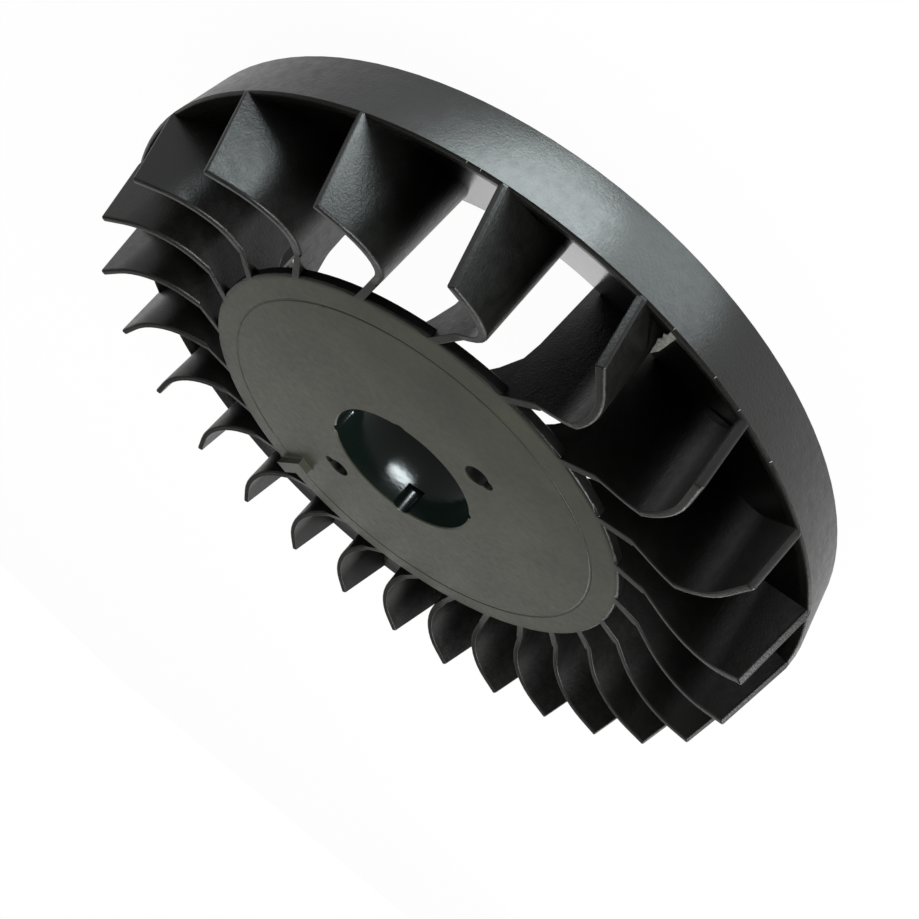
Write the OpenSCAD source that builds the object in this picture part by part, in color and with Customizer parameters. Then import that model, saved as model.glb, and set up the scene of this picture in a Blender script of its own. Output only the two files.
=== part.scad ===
// Flywheel cooling fan, moulded in one piece: a flat hub disc, curved blades that pass its rim,
// and a conical shroud behind the blades with an outer band.
// The disc's flat front face lies at Z = 0 and the axis is Z, with the blades' corners in front (+Z).

/* [Hub disc] */
// Diameter of the flat hub disc
disc_d = 156; // [152:0.5:160]
// Thickness of the hub disc
disc_t = 3.4; // [2.4:0.1:5]
// Radius of the rounding on the disc's front rim
rim_round = 0.9; // [0.3:0.1:1.2]
// Diameter of the fine witness line on the disc's face
line_d = 138; // [124:1:146]
// Width of the fine witness line
line_w = 0.4; // [0.3:0.1:1]
// Depth of the fine witness line
line_depth = 0.2; // [0.1:0.05:0.5]

/* [Centre bore] */
// Diameter of the centre bore
bore_d = 53; // [48:0.5:56]
// Wall thickness of the tube round the bore
tube_wall = 4; // [3:0.1:5]
// Length of the tube, from the disc's front face to its back end
tube_len = 27.5; // [16:0.5:36]
// Chamfer at the front of the bore
bore_chamfer = 0.5; // [0.3:0.1:1]
// Diameter of the cutter of the three narrow notches
notch_d = 5.2; // [4:0.1:7]
// Depth of the three narrow notches
notch_depth = 1.2; // [0.6:0.1:1.8]
// Diameter of the cutter of the key notch
key_d = 7.4; // [5:0.1:9]
// Depth of the key notch
key_depth = 2.1; // [1.2:0.1:2.6]
// Length of all four notches along the bore
notch_len = 10; // [5:0.5:14]
// Direction of the key notch round the axis
key_angle = 249; // [240:0.5:258]

/* [Bolt holes] */
// Diameter of the circle that the two bolt holes lie on
bolt_pcd = 77.2; // [75:0.2:86]
// Diameter of each bolt hole
bolt_hole_d = 8.2; // [6:0.1:9]
// Direction of the first bolt hole round the axis
bolt_angle = 23.6; // [20:0.1:28]
// Diameter of the small lobe beside each bolt hole
lobe_d = 4.5; // [3:0.1:5]
// Distance from the bolt hole's centre to the lobe's centre
lobe_shift = 3.8; // [3:0.1:4.5]

/* [Rim lug] */
// Width of the raised lug near the disc's rim
lug_w = 5.4; // [4:0.1:7]
// Length of the raised lug, inward from the rim
lug_len = 18; // [10:0.5:22]
// Height of the raised lug over the disc's face
lug_h = 3.1; // [2:0.1:5]
// Width of the flare at the lug's foot
lug_foot = 1.1; // [0.4:0.1:1.6]
// Direction of the lug round the axis
lug_angle = 202.4; // [200:0.1:204]

/* [Blades] */
// Number of blades
blade_count = 24; // [16:1:26]
// Thickness of a blade
blade_t = 2.3; // [1.8:0.1:3]
// How far the blades' spacing swings from even, in degrees
spacing_swing = 9.7; // [0:0.1:10]
// Direction of the blades' even spacing, in degrees
spacing_start = -250; // [-255:1:-245]
// Radius of the blades' front corners
corner_r = 117.7; // [112:0.1:119]
// Height of the front corners over the disc's face
corner_h = 11.9; // [8:0.1:18]
// Radius at which the blades' front edges start to rise
rise_r = 85.5; // [82:0.5:95]
// Height at which the three low blades are cut off flat
low_h = 4.7; // [2:0.1:7]
// Slope of a blade's inner length against the radius, in degrees
inner_slope = 35.2; // [28:0.1:40]
// Slope of a blade's outer length against the radius, in degrees
outer_slope = 39.3; // [32:0.1:45]
// Distance from a blade's corner to the middle of its bend
bend_place = 20.7; // [18:0.1:24]
// Radius of a blade's bend
bend_r = 18.4; // [15:0.1:19]
// Length of a blade's outer edge, square to the blade, from its corner to the band
outer_run = 8; // [6:0.1:10]
// Radius at which the blades start, behind the disc
root_r = 66.2; // [60:0.1:70]
// Radius of the blades' inner edges at their back end
inlet_r = 78; // [76:0.1:79.5]

/* [Shroud] */
// Diameter of the outer band at its front edge
band_d = 248.6; // [246:0.2:256]
// Diameter of the outer band at its back edge
band_back_d = 245.6; // [240:0.2:246]
// Depth of the band's front edge behind the disc's face
band_front = 11; // [8:0.1:14]
// Length of the outer band along the axis
band_len = 18.8; // [12:0.1:24]
// Wall thickness of the band and the cone
shroud_t = 2.3; // [1.6:0.1:3]
// Radius of the cone's inner edge
cone_inner_r = 80.7; // [80:0.1:86]
// Depth of the cone's inner edge behind the disc's face
cone_inner_back = 39.9; // [37:0.1:44]
// Width of the flat land round the cone's inner edge, which the fan rests on
rim_land = 1.5; // [0.6:0.1:3]

/* [Hidden] */
$fn = 96;
eps = 0.02;
plastic = "#3f413d";

disc_r = disc_d / 2;
bore_r = bore_d / 2;
band_r = band_d / 2;
band_back_r = band_back_d / 2;

// The blades' angles swing round an even spacing, so that the fan's tone is spread.
low_blades = [4, 5, 6];
swing_lag = 2.2;
function blade_angle(k) =
    let (even = 360 / blade_count * k)
    spacing_start - even - spacing_swing * sin(even - swing_lag);

// The bend is drawn in short steps, and the straight lengths reach past both ends of the blade.
// What cuts the blades is deeper and wider than any blade.
bend_steps = 9;
reach = 60;
cutter = 160;

// The bend's centre, seen from the blade's corner on the X axis.
bend_tangent = bend_r * tan((inner_slope + outer_slope) / 2);
bend_x = corner_r - (bend_place - bend_tangent) * cos(outer_slope) - bend_r * sin(outer_slope);
bend_y = (bend_place - bend_tangent) * sin(outer_slope) - bend_r * cos(outer_slope);

// The cone's sheet is measured square to its slope, and the blades stop just short of its back.
cone_slope = atan2(cone_inner_back - band_front, band_r - cone_inner_r);
cone_sheet = shroud_t / cos(cone_slope);
fan_back = cone_inner_back + cone_sheet;
back_inset = 0.4;
blade_back = fan_back - back_inset;

// The blades start this far inside the disc's rim and stay this far inside the band's outside.
stem_r = disc_r - 4;
outer_limit = band_r - 0.1;

// The band's front edge is bevelled, and the blades bite into the band behind the bevel.
bevel_in = 0.8;
bevel_back = 0.6;
bite = 0.4;

// A blade's inner edge curves from the disc's back out to the inlet:
// how far inside the inlet's radius it passes, and how deep.
curve_in = [5.5, 2.2, 1.3];
curve_back = [8.9, 13.5, 19];
root_slope = (inlet_r - curve_in[0] - root_r) / (curve_back[0] - disc_t);

// Outline of a blade as radius and height, before its outer end is cut square:
// its front edge, outer limit, back edge and inner edge.
rise = corner_h / (corner_r - rise_r);
blade_outline = [
    [root_r - root_slope * disc_t / 2, -disc_t / 2],
    [stem_r, -disc_t / 2],
    [stem_r, 0],
    [rise_r, 0],
    [outer_limit, rise * (outer_limit - rise_r)],
    [outer_limit, -band_front - bevel_back - bite],
    [band_r - shroud_t / 2, -band_front - bevel_back - 2 * bite],
    [cone_inner_r + shroud_t / 2, -cone_inner_back - shroud_t / 2],
    [cone_inner_r + rim_land / 2, -blade_back],
    [inlet_r, -blade_back],
    [inlet_r - curve_in[2], -curve_back[2]],
    [inlet_r - curve_in[1], -curve_back[1]],
    [inlet_r - curve_in[0], -curve_back[0]]
];

// Outline of the shroud as radius and height: the outer band and the cone meet in its front edge,
// with a small flat in the corner between them.
corner_in = 0.4;
corner_back = 1;
shroud_outline = [
    [band_r, -band_front - bevel_back],
    [band_back_r, -band_front - band_len],
    [band_back_r - shroud_t, -band_front - band_len],
    [band_r - shroud_t - corner_in, -band_front - cone_sheet - corner_back],
    [cone_inner_r + rim_land, -fan_back],
    [cone_inner_r, -fan_back],
    [cone_inner_r, -cone_inner_back],
    [band_r - bevel_in, -band_front]
];

// Half outline of the hub disc and the tube round its bore.
module hub_outline() {
    difference() {
        union() {
            translate([bore_r, -disc_t]) square([disc_r - rim_round - bore_r, disc_t]);
            translate([bore_r, -disc_t]) square([disc_r - bore_r, disc_t - rim_round]);
            translate([disc_r - rim_round, -rim_round]) circle(r = rim_round);
            translate([bore_r, -tube_len]) square([tube_wall, tube_len]);
        }
        translate([line_d / 2, -line_depth]) square([line_w, line_depth + eps]);
        polygon([
            [bore_r - eps, eps],
            [bore_r + bore_chamfer + eps, eps],
            [bore_r - eps, -bore_chamfer - eps]
        ]);
    }
}

// A round hole with a small lobe beside it.
module bolt_hole() {
    lobe_turn = 66;
    translate([bolt_pcd / 2, 0, -disc_t - 1]) cylinder(d = bolt_hole_d, h = disc_t + 2);
    translate([bolt_pcd / 2 + lobe_shift * cos(lobe_turn), -lobe_shift * sin(lobe_turn), -disc_t - 1])
        cylinder(d = lobe_d, h = disc_t + 2);
}

// A short round notch in the bore's wall, open at the disc's face.
module bore_notch(d, depth) {
    translate([bore_r + depth - d / 2, 0, -notch_len]) cylinder(d = d, h = notch_len + 1);
}

// A raised lug on the disc's face, flared at its foot and flush with the rim.
module rim_lug() {
    half = lug_w / 2;
    translate([disc_r - lug_len, 0, -disc_t / 2]) rotate([90, 0, 90])
        linear_extrude(lug_len - rim_round) polygon([
            [-half - lug_foot, 0],
            [-half - lug_foot, disc_t / 2],
            [-half - lug_foot * 0.3, disc_t / 2 + lug_foot * 0.3],
            [-half, disc_t / 2 + lug_foot],
            [-half, disc_t / 2 + lug_h],
            [half, disc_t / 2 + lug_h],
            [half, disc_t / 2 + lug_foot],
            [half + lug_foot * 0.3, disc_t / 2 + lug_foot * 0.3],
            [half + lug_foot, disc_t / 2],
            [half + lug_foot, 0]
        ]);
}

module hub() {
    difference() {
        union() {
            rotate_extrude() hub_outline();
            rotate(lug_angle) rim_lug();
        }
        for (side = [0, 180]) rotate(bolt_angle + side) bolt_hole();
        rotate(key_angle) bore_notch(key_d, key_depth);
        for (turn = [90, 180, 270]) rotate(key_angle + turn) bore_notch(notch_d, notch_depth);
    }
}

// Points along one side of a blade's plan, from its inner end past the bend to its outer end.
function blade_side(r) = concat(
    [[-reach * cos(inner_slope) - r * sin(inner_slope), r * cos(inner_slope) - reach * sin(inner_slope)]],
    [for (i = [0 : bend_steps])
        let (a = 90 + inner_slope - (inner_slope + outer_slope) * i / bend_steps)
        [r * cos(a), r * sin(a)]],
    [[reach * cos(outer_slope) + r * sin(outer_slope), r * cos(outer_slope) - reach * sin(outer_slope)]]
);

// Plan of one blade: a straight inner length, a bend and a straight outer length.
module blade_plan() {
    outer = blade_side(bend_r + blade_t / 2);
    inner = blade_side(bend_r - blade_t / 2);
    last = len(inner) - 1;
    translate([bend_x, bend_y]) polygon(concat(outer, [for (i = [0 : last]) inner[last - i]]));
}

// What lies past a blade's outer edge, cut square to the blade.
module past_outer_edge() {
    lean = outer_run / (corner_h + band_front);
    bottom = -band_front - bevel_back - bite / 2;
    translate([corner_r, 0, 0]) rotate(-outer_slope) rotate([90, 0, 0])
        linear_extrude(reach, center = true) polygon([
            [lean * (corner_h - bottom), bottom],
            [reach, bottom],
            [reach, reach],
            [-lean * (reach - corner_h), reach]
        ]);
}

// One blade, with its corner on the X axis before it is turned to its place.
module blade(k) {
    rotate(blade_angle(k)) mirror([0, 1, 0]) difference() {
        intersection() {
            translate([0, 0, -cutter / 2]) linear_extrude(cutter) blade_plan();
            rotate_extrude() polygon(blade_outline);
            if (len(search(k, low_blades)) > 0)
                translate([0, -cutter / 2, low_h - cutter]) cube(cutter);
        }
        past_outer_edge();
    }
}

module shroud() {
    rotate_extrude() polygon(shroud_outline);
}

module flywheel_fan() {
    color(plastic) {
        hub();
        for (k = [0 : blade_count - 1]) blade(k);
        shroud();
    }
}

flywheel_fan();
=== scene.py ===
import math

import bpy
from mathutils import Euler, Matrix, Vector


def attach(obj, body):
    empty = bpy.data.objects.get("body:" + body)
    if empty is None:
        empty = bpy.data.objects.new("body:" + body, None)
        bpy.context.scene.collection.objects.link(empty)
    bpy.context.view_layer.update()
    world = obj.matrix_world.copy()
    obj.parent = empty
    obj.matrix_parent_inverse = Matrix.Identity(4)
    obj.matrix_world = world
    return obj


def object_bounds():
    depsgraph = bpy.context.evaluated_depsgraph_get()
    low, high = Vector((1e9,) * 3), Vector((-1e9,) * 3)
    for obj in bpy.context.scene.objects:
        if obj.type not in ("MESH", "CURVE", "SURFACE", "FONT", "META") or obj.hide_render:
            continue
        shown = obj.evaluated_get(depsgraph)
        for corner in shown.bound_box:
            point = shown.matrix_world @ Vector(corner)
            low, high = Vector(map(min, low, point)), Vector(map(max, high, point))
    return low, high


MM = 0.001

# Camera, in the part's frame: where it stands, how it is turned in degrees, its lens in mm, and
# its small shift.
CAMERA_PLACE = (171.8 * MM, 207.9 * MM, 112.5 * MM)
CAMERA_TURN = (-62.12, 38.16, -23.54)
CAMERA_LENS = 35.6
CAMERA_SENSOR = 36
CAMERA_SHIFT = (0.102, 0.005)
CAMERA_NEAR = 10 * MM

# Sizes of the fan that the finish and the flash follow: the bore, the disc's rim and the front
# edge of the ring.
BORE_R = 26.5 * MM
DISC_R = 78 * MM
RING_FRONT = -11.3 * MM

# The torn flash on the ring's front edge, as radii in mm and bearings in degrees from the bore.
# It hangs from the outer height at its first point to the inner height at its tip.
FLASH_OUTLINE = (
    (122.9, 39.7), (121.2, 39.5), (120.6, 39.8), (119.3, 39.3), (118.0, 39.5), (116.6, 39.1),
    (114.4, 38.7), (112.4, 38.2), (115.2, 38.1), (117.6, 38.3), (120.4, 38.6), (122.6, 38.8))
FLASH_OUTER_Z = -11.4 * MM
FLASH_INNER_Z = -12.6 * MM
FLASH_T = 0.25 * MM

# Small burrs on the same edge: their bearings, and each one's length outwards, width and height.
# A burr's tip stands BURR_PEAK times its height above its foot.
BURR_BEARINGS = (22.6, 29.4, 33.6, 39.8, 63.3, 64.9)
BURR_R = 123.5 * MM
BURR_SIZE = (0.9 * MM, 0.22 * MM, 0.3 * MM)
BURR_PEAK = 1.6

# A pit and a scuff on the disc's face, drawn as dark spots in the colour: the pit's dark is painted
# shade.
DISC_MARKS = ((-1.4 * MM, 68.4 * MM, 0.0), (-59.0 * MM, -35.3 * MM, 0.0))
MARK_R = 0.7 * MM

# Black moulded nylon, as sRGB: the bulk, its paler clouded patches, a paler painted sheen on the
# flat disc's face, the greenish wall of the bore darkened as painted shade, the torn flash's pale
# grey as a painted glint and the dark of a pit as painted shade.
NYLON_BLACK = "#070807"
NYLON_CLOUD = "#0D0E0C"
DISC_SHEEN_PAINT = "#3A3B2E"
BORE_GREEN_SHADE = "#060A08"
FLASH_GLINT_GREY = "#A0A29C"
PIT_SHADE_BLACK = "#020202"

# The skin's gloss: a plain satin, smoother where the mould was polished.
SKIN_SHINE = 0.3
SATIN_ROUGHNESS = (0.32, 0.44)
BORE_SHINE = 0.1
BORE_ROUGHNESS = 0.12
CONE_ROUGHNESS = 0.15
FLASH_ROUGHNESS = 0.3

# Where each finish of the skin ends, as a pair: the first value still has none of it, and the
# second has all of it. The cone's slope is the upward share of its normal.
BORE_EDGE = (BORE_R + 2.5 * MM, BORE_R + 1.5 * MM)
BEHIND_FACE = (-0.3 * MM, -0.6 * MM)
DISC_EDGE = (DISC_R, DISC_R - 2 * MM)
CONE_SLOPE = (0.7, 0.8)
CONE_DEPTH = (-12.5 * MM, -13.5 * MM)

# The size of each pattern. Real spark texture is about 0.1 mm, and is drawn coarser to show.
CLOUD_SIZE = 30 * MM
MOTTLE_SIZE = 2.5 * MM
SPARK_SIZE = 0.7 * MM
FIBRE_SIZE = 0.6 * MM

# How strongly the spark texture shows on the blades and the ring, and on the wiped disc.
SPARK_ON_BLADES = 0.7
SPARK_ON_DISC = 0.1

# Corners closer than WELD_GAP are one, and faces that turn by less than FLAT_ANGLE are flat.
# Edges up to SMOOTH_ANGLE are shaded as one curve.
WELD_GAP = 0.08 * MM
FLAT_ANGLE = math.radians(1.5)
SMOOTH_ANGLE = math.radians(35)

# Outer edges sharper than ROUND_ANGLE are rounded. The raised lug keeps its own foot, and so do
# the bore and the bolt holes inside ROUND_FROM.
ROUND_ANGLE = math.radians(59)
ROUND_FROM = 60 * MM
ROUND_STEPS = 3
LUG_PLACE = (-66 * MM, -28 * MM, 1.5 * MM)
LUG_REACH = 13 * MM

# The blades' edges on the clockwise side are worn to ROUND_R, above WORN_FROM and outside
# WORN_OUTSIDE, and the other edges keep ROUND_SHARE of it. WORN_FACING is the share of an edge's
# normal that points anticlockwise, where it is fully worn and where it no longer is.
ROUND_R = 1.0 * MM
ROUND_SHARE = 0.45
WORN_FROM = -8 * MM
WORN_OUTSIDE = 85 * MM
WORN_FACING = (-0.25, -0.05)

# White backdrop paper. Its glow is a little under 1, so that it doesn't clip.
FLOOR_SIZE = 6.0
PAPER_WHITE = "#FFFFFF"
PAPER_ROUGHNESS = 0.9
PAPER_GLOW = 0.97

# The studio's walls by height, as the sine of the elevation: white low down, dimmer higher up.
WALL_TONES = ((0.34, "#FFFFFF"), (0.44, "#E6E7DC"), (0.56, "#98998F"), (0.7, "#777872"))

# Soft lamps that face the part: name, place in metres, width and height, and radiance.
LAMP_WHITE = "#FFFFFF"
OVERHEAD = ("overhead", (-0.2, -0.1, 1.1), (0.8, 0.8), 1.8)
STRIPS = (
    ("strip one", (0.36, -1.0, 0.2), (1.1, 0.25), 4.5),
    ("strip two", (1.0, -0.25, 0.32), (0.7, 0.35), 20.0))

# Panels that face up, two on the paper beside the near part of the ring and a small one inside
# the bore: name, place in X and Y, turn in degrees, width and length, and radiance.
PANEL_COLOUR = "#E6F2F4"
PAPER_PANELS = (
    ("near panel", (62 * MM, 171 * MM), 25, (57 * MM, 138 * MM), 12.5),
    ("side panel", (108 * MM, 101 * MM), 43, (40 * MM, 56 * MM), 4.0))
PANEL_LIFT = 0.5 * MM
BORE_PANEL = ("bore panel", (6 * MM, 10 * MM), 45, (10 * MM, 18 * MM), 120.0)
BORE_PANEL_Z = -26 * MM


def srgb(code):
    """A #RRGGBB colour as linear RGBA."""
    parts = [int(code[i:i + 2], 16) / 255 for i in (1, 3, 5)]
    return [c / 12.92 if c <= 0.04045 else ((c + 0.055) / 1.055) ** 2.4 for c in parts] + [1.0]


def add(tree, kind, inputs=(), **values):
    """A node with its values set, and its inputs linked or set."""
    made = tree.nodes.new(kind)
    for name, value in values.items():
        setattr(made, name, value)
    for name, value in dict(inputs).items():
        if isinstance(value, bpy.types.NodeSocket):
            tree.links.new(value, made.inputs[name])
        else:
            made.inputs[name].default_value = value
    return made


def new_material(name):
    """An empty material with an output, and its shader's node."""
    material = bpy.data.materials.new(name)
    material.use_nodes = True
    tree = material.node_tree
    tree.nodes.clear()
    output = add(tree, "ShaderNodeOutputMaterial")
    shader = add(tree, "ShaderNodeBsdfPrincipled")
    tree.links.new(shader.outputs["BSDF"], output.inputs["Surface"])
    return material, tree, shader


def moulded_nylon():
    """Black glass-filled nylon, injection moulded: a deep black with a satin skin.

    The mould's spark texture gives the blades and the ring a soft grain. The machined bore and the
    polished cone behind the blades are smoother, with painted shade darkening the bore's greenish
    wall.
    Clouding and a paler painted sheen lighten the flat disc, which has two small marks painted
    dark.
    """
    material, tree, shader = new_material("black_nylon_moulded")
    place = add(tree, "ShaderNodeTexCoord").outputs["Object"]
    axes = add(tree, "ShaderNodeSeparateXYZ", {"Vector": place})
    flat = add(tree, "ShaderNodeCombineXYZ", {"X": axes.outputs["X"], "Y": axes.outputs["Y"]})
    radius = add(tree, "ShaderNodeVectorMath", {
        0: flat.outputs["Vector"]}, operation="LENGTH").outputs["Value"]

    # The bore's wall lies close to the bore's radius and behind the disc's face.
    in_bore = add(tree, "ShaderNodeMapRange", {
        "Value": radius, "From Min": BORE_EDGE[0], "From Max": BORE_EDGE[1]})
    behind = add(tree, "ShaderNodeMapRange", {
        "Value": axes.outputs["Z"], "From Min": BEHIND_FACE[0], "From Max": BEHIND_FACE[1]})
    bore = add(tree, "ShaderNodeMath", {
        0: in_bore.outputs["Result"], 1: behind.outputs["Result"]},
        operation="MULTIPLY").outputs["Value"]
    on_disc = add(tree, "ShaderNodeMapRange", {
        "Value": radius, "From Min": DISC_EDGE[0], "From Max": DISC_EDGE[1]}).outputs["Result"]

    # The ring's inner cone, behind the blades, is a polished face that looks up and inwards.
    facing = add(tree, "ShaderNodeNewGeometry").outputs["Normal"]
    upward = add(tree, "ShaderNodeSeparateXYZ", {"Vector": facing}).outputs["Z"]
    sloped = add(tree, "ShaderNodeMapRange", {
        "Value": upward, "From Min": CONE_SLOPE[0], "From Max": CONE_SLOPE[1]})
    deep = add(tree, "ShaderNodeMapRange", {
        "Value": axes.outputs["Z"], "From Min": CONE_DEPTH[0], "From Max": CONE_DEPTH[1]})
    in_cone = add(tree, "ShaderNodeMath", {
        0: sloped.outputs["Result"], 1: deep.outputs["Result"]},
        operation="MULTIPLY").outputs["Value"]

    cloud = add(tree, "ShaderNodeTexNoise", {
        "Vector": place, "Scale": 1 / CLOUD_SIZE, "Detail": 5.0, "Roughness": 0.6}).outputs["Fac"]
    mottle = add(tree, "ShaderNodeTexNoise", {
        "Vector": place, "Scale": 1 / MOTTLE_SIZE, "Detail": 4.0, "Roughness": 0.65}).outputs["Fac"]
    spark = add(tree, "ShaderNodeTexNoise", {
        "Vector": place, "Scale": 1 / SPARK_SIZE, "Detail": 3.0}).outputs["Fac"]

    # Colour: the clouded black, then the painted sheen on the disc's face, the two marks and the
    # bore's wall in painted shade.
    tint = add(tree, "ShaderNodeMix", {"Factor": cloud}, data_type="RGBA")
    tint.inputs["A"].default_value = srgb(NYLON_BLACK)
    tint.inputs["B"].default_value = srgb(NYLON_CLOUD)
    # A paler olive painted sheen on the disc's front face, patchy with the clouding: light painted
    # into the colour.
    sheen_amount = add(tree, "ShaderNodeMapRange", {
        "Value": cloud, "From Min": 0.25, "From Max": 0.7, "To Min": 0.25, "To Max": 0.8})
    on_face = add(tree, "ShaderNodeMath", {
        0: on_disc, 1: behind.outputs["Result"]}, operation="SUBTRACT", use_clamp=True)
    sheen_here = add(tree, "ShaderNodeMath", {
        0: sheen_amount.outputs["Result"], 1: on_face.outputs["Value"]}, operation="MULTIPLY")
    sheened = add(tree, "ShaderNodeMix", {"Factor": sheen_here.outputs["Value"]}, data_type="RGBA")
    tree.links.new(tint.outputs["Result"], sheened.inputs["A"])
    sheened.inputs["B"].default_value = srgb(DISC_SHEEN_PAINT)
    marked = sheened.outputs["Result"]
    # Each mark is a dark spot in the colour with no hollow; the pit's dark is painted shade.
    for mark in DISC_MARKS:
        away = add(tree, "ShaderNodeVectorMath", {
            0: place, 1: mark}, operation="DISTANCE").outputs["Value"]
        inside = add(tree, "ShaderNodeMapRange", {
            "Value": away, "From Min": MARK_R, "From Max": 0.5 * MARK_R})
        darker = add(tree, "ShaderNodeMix", {
            "Factor": inside.outputs["Result"]}, data_type="RGBA")
        tree.links.new(marked, darker.inputs["A"])
        darker.inputs["B"].default_value = srgb(PIT_SHADE_BLACK)
        marked = darker.outputs["Result"]
    # The bore's wall takes a greenish tint, darkened as painted shade in the deep bore.
    tinted = add(tree, "ShaderNodeMix", {"Factor": bore}, data_type="RGBA")
    tree.links.new(marked, tinted.inputs["A"])
    tinted.inputs["B"].default_value = srgb(BORE_GREEN_SHADE)
    tree.links.new(tinted.outputs["Result"], shader.inputs["Base Color"])

    # Gloss: a mottled satin, with the bore and the cone smoother.
    shine = add(tree, "ShaderNodeMix", {"Factor": bore}, data_type="FLOAT")
    shine.inputs["A"].default_value = SKIN_SHINE
    shine.inputs["B"].default_value = BORE_SHINE
    tree.links.new(shine.outputs["Result"], shader.inputs["Specular IOR Level"])
    satin = add(tree, "ShaderNodeMapRange", {
        "Value": mottle, "From Min": 0.3, "From Max": 0.7,
        "To Min": SATIN_ROUGHNESS[0], "To Max": SATIN_ROUGHNESS[1]})
    rough = add(tree, "ShaderNodeMix", {"Factor": bore}, data_type="FLOAT")
    tree.links.new(satin.outputs["Result"], rough.inputs["A"])
    rough.inputs["B"].default_value = BORE_ROUGHNESS
    polished = add(tree, "ShaderNodeMix", {"Factor": in_cone}, data_type="FLOAT")
    tree.links.new(rough.outputs["Result"], polished.inputs["A"])
    polished.inputs["B"].default_value = CONE_ROUGHNESS
    tree.links.new(polished.outputs["Result"], shader.inputs["Roughness"])

    # The disc was wiped smooth, and the blades and the ring keep the full grain.
    grain = add(tree, "ShaderNodeMapRange", {
        "Value": on_disc, "To Min": SPARK_ON_BLADES, "To Max": SPARK_ON_DISC}).outputs["Result"]
    coarse = add(tree, "ShaderNodeBump", {
        "Height": mottle, "Strength": 0.1, "Distance": 0.4 * MM})
    fine = add(tree, "ShaderNodeBump", {
        "Height": spark, "Strength": grain, "Distance": 0.1 * MM,
        "Normal": coarse.outputs["Normal"]})
    tree.links.new(fine.outputs["Normal"], shader.inputs["Normal"])
    return material


def torn_nylon():
    """Torn nylon flash: thin, shinier than the skin, its fibrous grain streaked with painted glint.
    """
    material, tree, shader = new_material("torn_nylon_flash")
    place = add(tree, "ShaderNodeTexCoord").outputs["Object"]
    fibres = add(tree, "ShaderNodeTexNoise", {
        "Vector": place, "Scale": 1 / FIBRE_SIZE, "Detail": 3.0}).outputs["Fac"]
    # The pale grey streaks are a painted glint, laid in the colour along the fibrous grain.
    tint = add(tree, "ShaderNodeMix", {"Factor": fibres}, data_type="RGBA")
    tint.inputs["A"].default_value = srgb(NYLON_BLACK)
    tint.inputs["B"].default_value = srgb(FLASH_GLINT_GREY)
    tree.links.new(tint.outputs["Result"], shader.inputs["Base Color"])
    shader.inputs["Roughness"].default_value = FLASH_ROUGHNESS
    bumps = add(tree, "ShaderNodeBump", {
        "Height": fibres, "Strength": 0.4, "Distance": 0.2 * MM})
    tree.links.new(bumps.outputs["Normal"], shader.inputs["Normal"])
    return material


def round_the_bore(radius, bearing, height):
    """A point at a radius and a bearing in degrees from the bore's axis."""
    turn = math.radians(bearing)
    return Vector((radius * math.cos(turn), radius * math.sin(turn), height))


def add_piece(name, points, faces, material):
    """A mesh of the visual model, moulded in one with the fan."""
    mesh = bpy.data.meshes.new(name)
    mesh.from_pydata(points, [], faces)
    mesh.materials.append(material)
    piece = bpy.data.objects.new(name, mesh)
    bpy.context.scene.collection.objects.link(piece)
    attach(piece, "root")


def build_flash(material):
    """The torn sheet of flash that hangs inwards from the ring's front edge."""
    outer = FLASH_OUTLINE[0][0]
    tip = min(radius for radius, bearing in FLASH_OUTLINE)
    top = []
    for radius, bearing in FLASH_OUTLINE:
        share = (outer - radius) / (outer - tip)
        height = FLASH_OUTER_Z + share * (FLASH_INNER_Z - FLASH_OUTER_Z)
        top.append(round_the_bore(radius * MM, bearing, height))
    bottom = [point - Vector((0, 0, FLASH_T)) for point in top]
    count = len(top)
    faces = [tuple(range(count)), tuple(reversed(range(count, 2 * count)))]
    faces += [(count + i, count + (i + 1) % count, (i + 1) % count, i) for i in range(count)]
    add_piece("torn_flash", top + bottom, faces, material)


def build_burrs(material):
    """Small burrs left along the ring's front edge, each a short sliver that points outwards."""
    # The burrs take the flash's material, whose pale grey is a painted glint.
    long, wide, high = BURR_SIZE
    for number, bearing in enumerate(BURR_BEARINGS):
        turn = math.radians(bearing)
        out = Vector((math.cos(turn), math.sin(turn), 0))
        side = Vector((-out.y, out.x, 0)) * (wide / 2)
        foot = round_the_bore(BURR_R, bearing, RING_FRONT - high)
        tip = foot + out * (long / 2) + Vector((0, 0, high * BURR_PEAK))
        points = [foot - side, foot + side, foot + out * long + side, foot + out * long - side, tip]
        faces = [(0, 1, 2, 3), (4, 1, 0), (4, 2, 1), (4, 3, 2), (4, 0, 3)]
        add_piece("burr_%d" % number, points, faces, material)


def geometry_group(name):
    """An empty geometry node tree with one mesh in and one mesh out."""
    tree = bpy.data.node_groups.new(name, "GeometryNodeTree")
    tree.interface.new_socket("Mesh", in_out="INPUT", socket_type="NodeSocketGeometry")
    tree.interface.new_socket("Mesh", in_out="OUTPUT", socket_type="NodeSocketGeometry")
    start = add(tree, "NodeGroupInput").outputs["Mesh"]
    end = add(tree, "NodeGroupOutput").inputs["Mesh"]
    return tree, start, end


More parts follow.
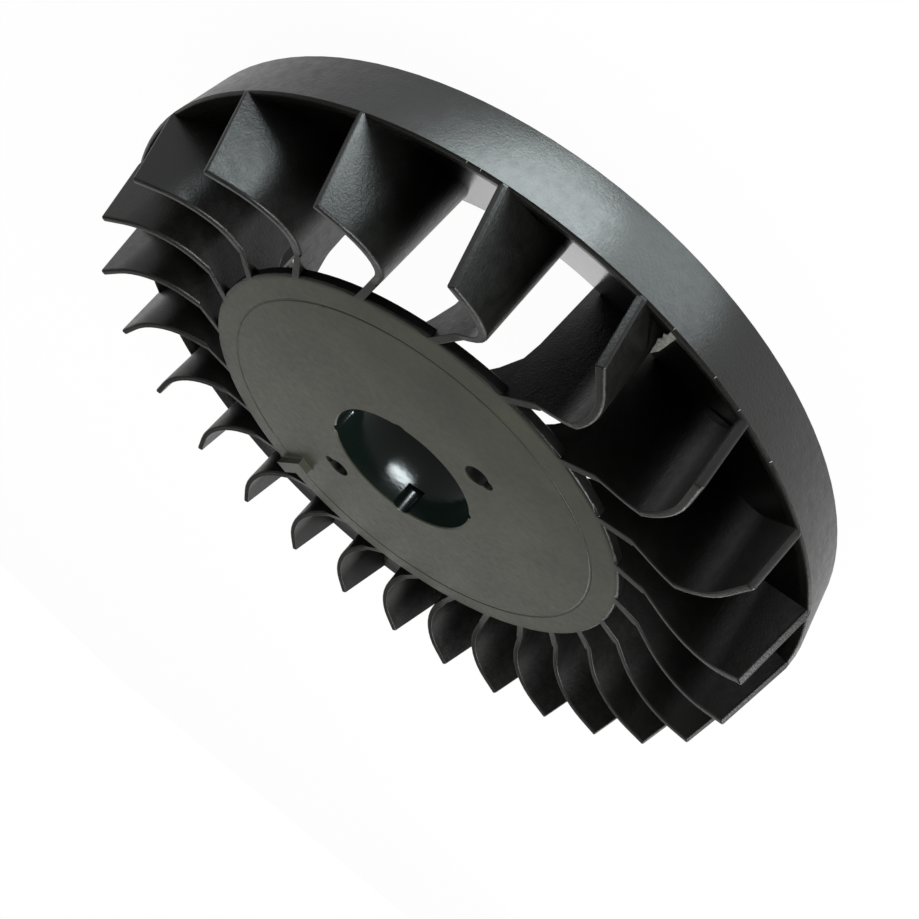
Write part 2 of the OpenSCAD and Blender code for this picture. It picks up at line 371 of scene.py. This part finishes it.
def choose_round_edges():
    """Weighs the outer edges for rounding: all sharp ones but those of the lug and the holes."""
    tree, mesh, end = geometry_group("round_edges")
    angle = add(tree, "GeometryNodeInputMeshEdgeAngle").outputs["Signed Angle"]
    sharp = add(tree, "FunctionNodeCompare", {
        "A": angle, "B": ROUND_ANGLE}, operation="GREATER_THAN")
    place = add(tree, "GeometryNodeInputPosition").outputs["Position"]
    axes = add(tree, "ShaderNodeSeparateXYZ", {"Vector": place})
    flat = add(tree, "ShaderNodeCombineXYZ", {"X": axes.outputs["X"], "Y": axes.outputs["Y"]})
    radius = add(tree, "ShaderNodeVectorMath", {0: flat.outputs["Vector"]}, operation="LENGTH")
    outside = add(tree, "FunctionNodeCompare", {
        "A": radius.outputs["Value"], "B": ROUND_FROM}, operation="GREATER_THAN")
    lug = add(tree, "ShaderNodeVectorMath", {0: place, 1: LUG_PLACE}, operation="DISTANCE")
    off_lug = add(tree, "FunctionNodeCompare", {
        "A": lug.outputs["Value"], "B": LUG_REACH}, operation="GREATER_THAN")
    chosen = add(tree, "FunctionNodeBooleanMath", {
        0: sharp.outputs["Result"], 1: outside.outputs["Result"]}, operation="AND")
    chosen = add(tree, "FunctionNodeBooleanMath", {
        0: chosen.outputs["Boolean"], 1: off_lug.outputs["Result"]}, operation="AND")

    # The wear is on the side of each blade that faces clockwise, seen from the front.
    facing = add(tree, "GeometryNodeInputNormal").outputs["Normal"]
    turning = add(tree, "ShaderNodeVectorMath", {
        0: (0, 0, 1), 1: flat.outputs["Vector"]}, operation="CROSS_PRODUCT")
    turning = add(tree, "ShaderNodeVectorMath", {
        0: turning.outputs["Vector"]}, operation="NORMALIZE")
    anticlockwise = add(tree, "ShaderNodeVectorMath", {
        0: facing, 1: turning.outputs["Vector"]}, operation="DOT_PRODUCT")
    weight = add(tree, "ShaderNodeMapRange", {
        "Value": anticlockwise.outputs["Value"],
        "From Min": WORN_FACING[0], "From Max": WORN_FACING[1],
        "To Min": 1.0, "To Max": ROUND_SHARE})
    above = add(tree, "FunctionNodeCompare", {
        "A": axes.outputs["Z"], "B": WORN_FROM}, operation="GREATER_THAN")
    on_blade = add(tree, "FunctionNodeCompare", {
        "A": radius.outputs["Value"], "B": WORN_OUTSIDE}, operation="GREATER_THAN")
    exposed = add(tree, "FunctionNodeBooleanMath", {
        0: above.outputs["Result"], 1: on_blade.outputs["Result"]}, operation="AND")
    worn = add(tree, "GeometryNodeSwitch", {
        "Switch": exposed.outputs["Boolean"], "False": ROUND_SHARE,
        "True": weight.outputs["Result"]}, input_type="FLOAT")
    weigh = add(tree, "GeometryNodeStoreNamedAttribute", {
        "Geometry": mesh, "Selection": chosen.outputs["Boolean"], "Name": "bevel_weight_edge",
        "Value": worn.outputs["Output"]}, data_type="FLOAT", domain="EDGE")
    tree.links.new(weigh.outputs["Geometry"], end)
    return tree


def smooth_by_angle():
    """Shades a mesh smoothly, but for edges sharper than SMOOTH_ANGLE."""
    tree, mesh, end = geometry_group("smooth_by_angle")
    angle = add(tree, "GeometryNodeInputMeshEdgeAngle").outputs["Unsigned Angle"]
    sharp = add(tree, "FunctionNodeCompare", {
        "A": angle, "B": SMOOTH_ANGLE}, operation="GREATER_THAN")
    faces = add(tree, "GeometryNodeSetShadeSmooth", {
        "Geometry": mesh, "Shade Smooth": True}, domain="FACE")
    edges = add(tree, "GeometryNodeSetShadeSmooth", {
        "Geometry": faces.outputs["Geometry"], "Selection": sharp.outputs["Result"],
        "Shade Smooth": False}, domain="EDGE")
    tree.links.new(edges.outputs["Geometry"], end)
    return tree


def finish_moulding(piece):
    """Rounds the moulding's outer edges and shades its curves smoothly, all by modifiers."""
    weld = piece.modifiers.new("weld", "WELD")
    weld.merge_threshold = WELD_GAP
    flats = piece.modifiers.new("flats", "DECIMATE")
    flats.decimate_type = "DISSOLVE"
    flats.angle_limit = FLAT_ANGLE
    piece.modifiers.new("choose", "NODES").node_group = choose_round_edges()
    rounded = piece.modifiers.new("rounded", "BEVEL")
    rounded.limit_method = "WEIGHT"
    rounded.width = ROUND_R
    rounded.segments = ROUND_STEPS
    rounded.use_clamp_overlap = False
    rounded.miter_outer = "MITER_ARC"
    piece.modifiers.new("smooth", "NODES").node_group = smooth_by_angle()
    normals = piece.modifiers.new("normals", "WEIGHTED_NORMAL")
    normals.keep_sharp = True


def build_floor(height):
    """White backdrop paper under the fan: it shows white, and keeps a soft shadow."""
    bpy.ops.mesh.primitive_plane_add(size=FLOOR_SIZE, location=(0, 0, height))
    floor = bpy.context.object
    floor.name = "floor"
    material, tree, shader = new_material("white_backdrop_paper")
    shader.inputs["Base Color"].default_value = srgb(PAPER_WHITE)
    shader.inputs["Roughness"].default_value = PAPER_ROUGHNESS
    shader.inputs["Specular IOR Level"].default_value = 0.0
    path = add(tree, "ShaderNodeLightPath")
    seen = add(tree, "ShaderNodeMath", {
        0: path.outputs["Is Camera Ray"], 1: path.outputs["Is Glossy Ray"]}, operation="MAXIMUM")
    seen = add(tree, "ShaderNodeMath", {
        0: seen.outputs["Value"], 1: path.outputs["Is Transmission Ray"]}, operation="MAXIMUM")
    share = add(tree, "ShaderNodeMath", {
        0: seen.outputs["Value"], 1: PAPER_GLOW}, operation="MULTIPLY")
    glow = add(tree, "ShaderNodeEmission", {"Color": srgb(PAPER_WHITE), "Strength": 1.0})
    blend = add(tree, "ShaderNodeMixShader", {
        0: share.outputs["Value"], 1: shader.outputs["BSDF"], 2: glow.outputs["Emission"]})
    output = tree.nodes["Material Output"]
    tree.links.new(blend.outputs["Shader"], output.inputs["Surface"])
    floor.data.materials.append(material)


def build_camera():
    """The camera, at the photograph's viewing angle."""
    data = bpy.data.cameras.new("camera")
    data.sensor_width = CAMERA_SENSOR
    data.lens = CAMERA_LENS
    data.shift_x, data.shift_y = CAMERA_SHIFT
    data.clip_start = CAMERA_NEAR
    camera = bpy.data.objects.new("camera", data)
    camera.location = CAMERA_PLACE
    camera.rotation_euler = Euler([math.radians(a) for a in CAMERA_TURN], "XYZ")
    bpy.context.scene.collection.objects.link(camera)
    bpy.context.scene.camera = camera


def build_world():
    """Pale studio walls that are white near the floor and dimmer overhead."""
    world = bpy.data.worlds.new("studio")
    world.use_nodes = True
    tree = world.node_tree
    tree.nodes.clear()
    output = add(tree, "ShaderNodeOutputWorld")
    way = add(tree, "ShaderNodeTexCoord").outputs["Generated"]
    rise = add(tree, "ShaderNodeSeparateXYZ", {"Vector": way}).outputs["Z"]
    walls = add(tree, "ShaderNodeValToRGB", {"Fac": rise})
    tones = walls.color_ramp.elements
    while len(tones) < len(WALL_TONES):
        tones.new(1.0)
    for tone, (height, colour) in zip(tones, WALL_TONES):
        tone.position = height
        tone.color = srgb(colour)
    glow = add(tree, "ShaderNodeBackground", {"Color": walls.outputs["Color"], "Strength": 1.0})
    tree.links.new(glow.outputs["Background"], output.inputs["Surface"])
    bpy.context.scene.world = world


def add_softbox(name, place, size, radiance, colour=LAMP_WHITE, shape="RECTANGLE"):
    """A soft area light that faces the part's origin and shows itself to no camera."""
    data = bpy.data.lights.new(name, "AREA")
    data.shape = shape
    data.size, data.size_y = size
    data.energy = radiance * math.pi * size[0] * size[1]
    data.color = srgb(colour)[:3]
    lamp = bpy.data.objects.new(name, data)
    lamp.location = place
    lamp.rotation_euler = (Vector() - Vector(place)).to_track_quat("-Z", "Y").to_euler()
    lamp.visible_camera = False
    bpy.context.scene.collection.objects.link(lamp)
    return lamp


def add_panel(height, name, place, turn, size, radiance):
    """A flat oval light that lies at a height and faces up."""
    panel = add_softbox(name, (*place, height), size, radiance, PANEL_COLOUR, "ELLIPSE")
    panel.rotation_euler = Euler((math.pi, 0, math.radians(turn)), "XYZ")


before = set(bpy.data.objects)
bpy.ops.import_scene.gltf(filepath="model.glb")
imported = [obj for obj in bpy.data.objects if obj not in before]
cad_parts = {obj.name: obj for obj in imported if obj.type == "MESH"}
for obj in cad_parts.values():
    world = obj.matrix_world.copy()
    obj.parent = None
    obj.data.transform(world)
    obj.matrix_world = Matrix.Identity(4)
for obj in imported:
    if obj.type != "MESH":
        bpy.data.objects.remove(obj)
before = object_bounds()

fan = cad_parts["flywheel_fan"]
fan.data.materials.clear()
fan.data.materials.append(moulded_nylon())
finish_moulding(fan)

# The flash and the burrs share one material whose pale grey is a painted glint.
flash = torn_nylon()
build_flash(flash)
build_burrs(flash)

build_floor(before[0].z)
build_camera()
build_world()
add_softbox(*OVERHEAD)
for panel in PAPER_PANELS:
    add_panel(before[0].z + PANEL_LIFT, *panel)
add_panel(BORE_PANEL_Z, *BORE_PANEL)
for strip in STRIPS:
    add_softbox(*strip)

bpy.context.scene.view_settings.view_transform = "Standard"
